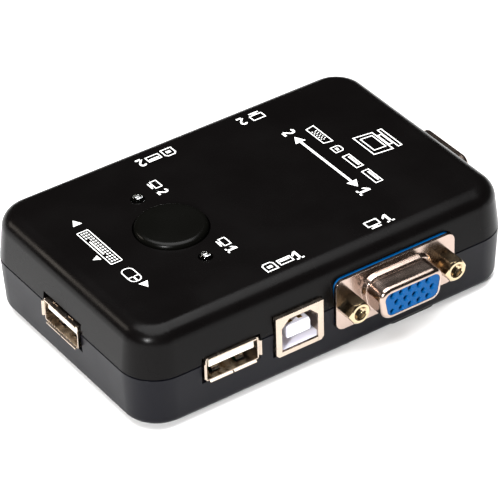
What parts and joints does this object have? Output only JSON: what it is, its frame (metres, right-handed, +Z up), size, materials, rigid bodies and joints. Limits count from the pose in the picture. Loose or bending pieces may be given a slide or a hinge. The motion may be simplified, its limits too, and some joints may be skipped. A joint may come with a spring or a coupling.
{
  "type": "kvm switch",
  "caption": "Small rectangular black box with rounded corners, a round push button on top, and D-type video and USB sockets on all four sides.",
  "frame": {"origin": "middle of the whole object's box, at the underside of the feet", "axes": "+X along the case to the monitor connector's side, +Y to the second computer's side, +Z up"},
  "size_m": [0.1006, 0.0734, 0.0259],
  "materials": {
    "case_plastic": "semi-gloss moulded black ABS",
    "button_plastic": "semi-gloss moulded black ABS",
    "zinc_screw_steel": "bright zinc plate",
    "foot_rubber": "matte",
    "board_laminate": "green solder mask",
    "switch_plastic": "matte moulded",
    "plunger_plastic": "matte moulded",
    "spring_steel": "drawn wire",
    "tinned_legs": "tin plate",
    "lamp_epoxy": "clear cast epoxy",
    "tube_nylon": "natural nylon",
    "chip_epoxy": "matte moulded epoxy",
    "crystal_can": "drawn can",
    "capacitor_sleeve": "shrink sleeve",
    "jackscrew_nickel": "nickel plate, turned and milled",
    "boardlock_steel": "tin plate",
    "connector_shell_nickel": "nickel plate, satin",
    "usb_shell_nickel": "nickel plate, satin",
    "blue_insulator": "moulded, slight gloss",
    "pale_insulator": "moulded, slight gloss",
    "ivory_insulator": "moulded, slight gloss",
    "contact_brass": "gold flash"
  },
  "bodies": {
    "case": {"top_cover": "case_plastic", "bottom_cover": "case_plastic", "case_screws": "zinc_screw_steel", "rubber_feet": "foot_rubber", "circuit_board": "board_laminate", "switch_housing": "switch_plastic", "switch_spring": "spring_steel", "switch_pins": "tinned_legs", "led_front": "lamp_epoxy", "led_back": "lamp_epoxy", "led_legs": "tinned_legs", "led_tubes": "tube_nylon", "switching_chips": "chip_epoxy", "chip_legs": "tinned_legs", "crystal": "crystal_can", "capacitors": "capacitor_sleeve", "resistors": "chip_epoxy", "vga_front_shell": "connector_shell_nickel", "vga_front_insert": "blue_insulator", "vga_front_contacts": "contact_brass", "vga_front_boardlocks": "boardlock_steel", "vga_front_jackscrews": "jackscrew_nickel", "vga_back_shell": "connector_shell_nickel", "vga_back_insert": "blue_insulator", "vga_back_contacts": "contact_brass", "vga_back_boardlocks": "boardlock_steel", "vga_back_jackscrews": "jackscrew_nickel", "vga_right_shell": "connector_shell_nickel", "vga_right_insert": "blue_insulator", "vga_right_contacts": "contact_brass", "vga_right_boardlocks": "boardlock_steel", "vga_right_jackscrews": "jackscrew_nickel", "usb_b_front_shell": "usb_shell_nickel", "usb_b_front_insert": "pale_insulator", "usb_b_front_contacts": "contact_brass", "usb_b_back_shell": "usb_shell_nickel", "usb_b_back_insert": "pale_insulator", "usb_b_back_contacts": "contact_brass", "usb_a_front_shell": "usb_shell_nickel", "usb_a_front_insert": "ivory_insulator", "usb_a_front_contacts": "contact_brass", "usb_a_back_shell": "usb_shell_nickel", "usb_a_back_insert": "ivory_insulator", "usb_a_back_contacts": "contact_brass", "usb_a_left_shell": "usb_shell_nickel", "usb_a_left_insert": "ivory_insulator", "usb_a_left_contacts": "contact_brass"},
    "button": {"button_cap": "button_plastic", "switch_plunger": "plunger_plastic"}
  },
  "joints": [
    {"name": "button_press", "type": "slide", "parent": "case", "child": "button", "axis": [0, 0, -1], "range_m": [0, 0.0016], "stiffness_N_per_m": 400, "springref_m": -0.0015, "deforming": ["switch_spring"]}
  ]
}
